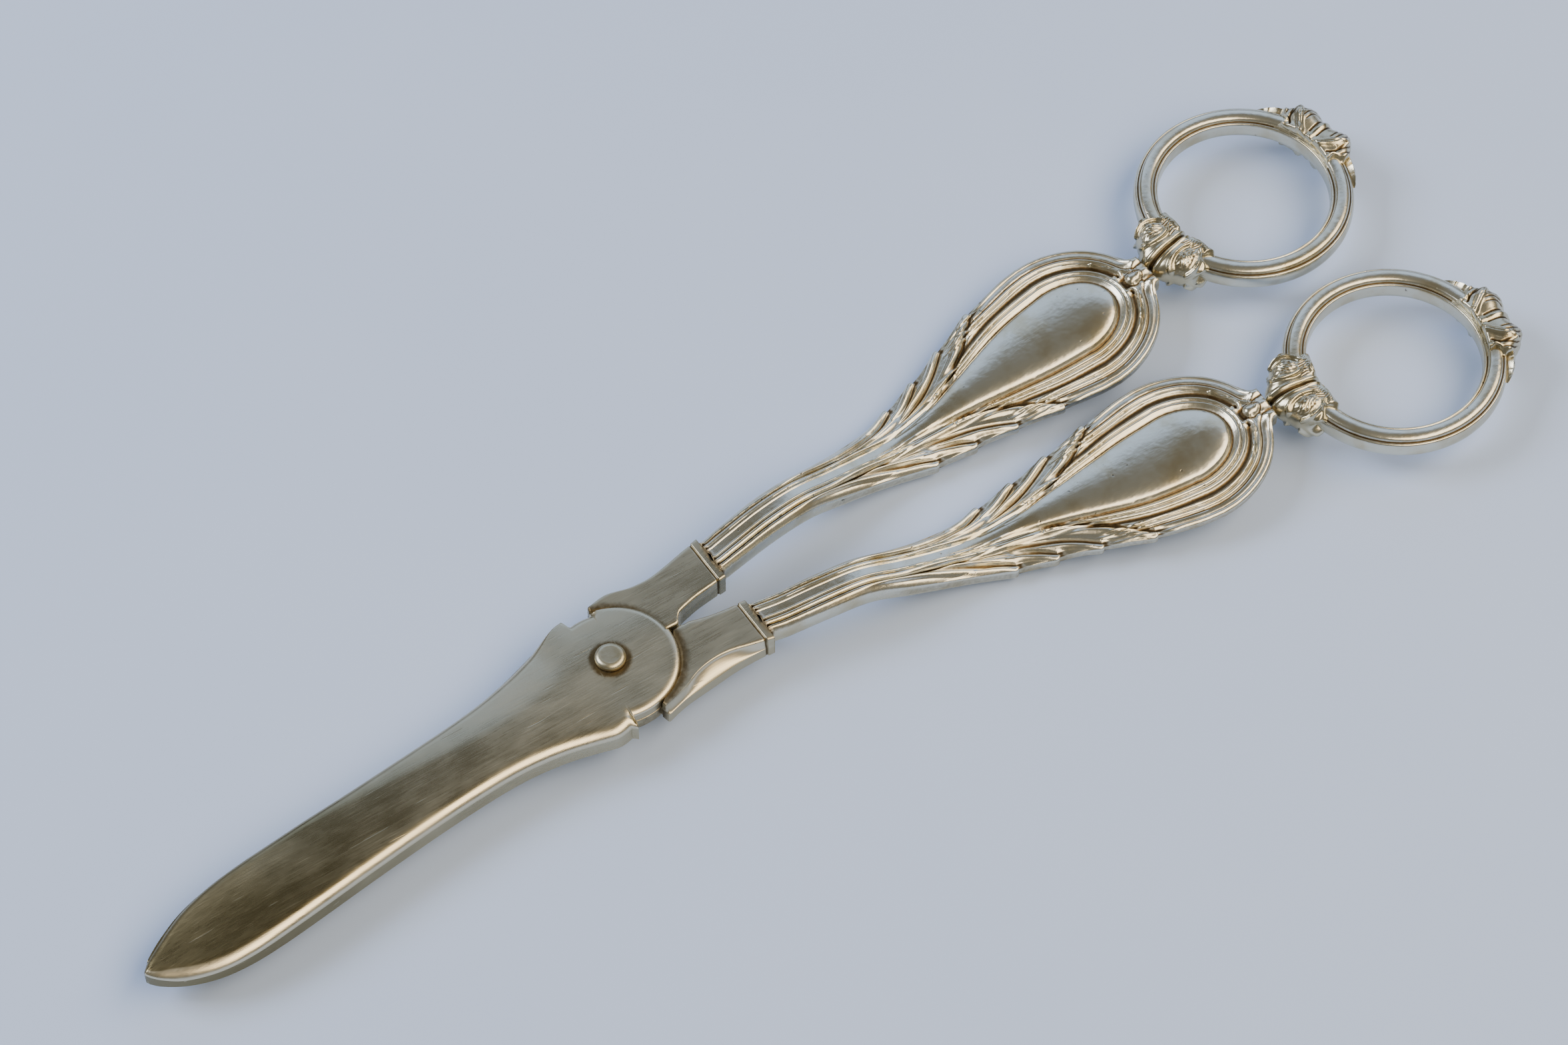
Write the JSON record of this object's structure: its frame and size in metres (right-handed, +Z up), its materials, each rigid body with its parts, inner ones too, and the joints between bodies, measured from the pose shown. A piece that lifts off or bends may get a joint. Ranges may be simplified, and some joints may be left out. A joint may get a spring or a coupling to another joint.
{
  "type": "grape shears",
  "caption": "Table shears for cutting grape stems: two crossed levers on a rivet, a flanged upper blade, reeded leaf handles and finger rings with leaf crests.",
  "frame": {"origin": "middle of the closed shears' footprint, on the surface that they lie on", "axes": "+X along the shears, from the pivot to the finger rings; +Y across them, to the side of the upper lever's handle; +Z up, to the face that shows the rivet's head"},
  "size_m": [0.18, 0.0564, 0.0075],
  "materials": {
    "silver_plate": "old silver plate, polished on the raised places and brown in the hollows",
    "satin_plate": "worn satin silver plate with fine lengthwise scratches",
    "tarnished_plate": "silver plate with dark tarnish between its leaves"
  },
  "bodies": {
    "lower_lever": {"lower_blade": "satin_plate", "pivot_rivet": "silver_plate", "left_handle": "silver_plate", "left_ring": "silver_plate", "left_ring_collar": "tarnished_plate", "left_ring_crest": "tarnished_plate"},
    "upper_lever": {"upper_blade": "satin_plate", "right_handle": "silver_plate", "right_ring": "silver_plate", "right_ring_collar": "tarnished_plate", "right_ring_crest": "tarnished_plate"}
  },
  "joints": [
    {"name": "pivot", "type": "hinge", "parent": "lower_lever", "child": "upper_lever", "pos_m": [-0.026, -0.0006, 0.0048], "axis": [0, 0, 1], "range_deg": [0, 24]}
  ]
}
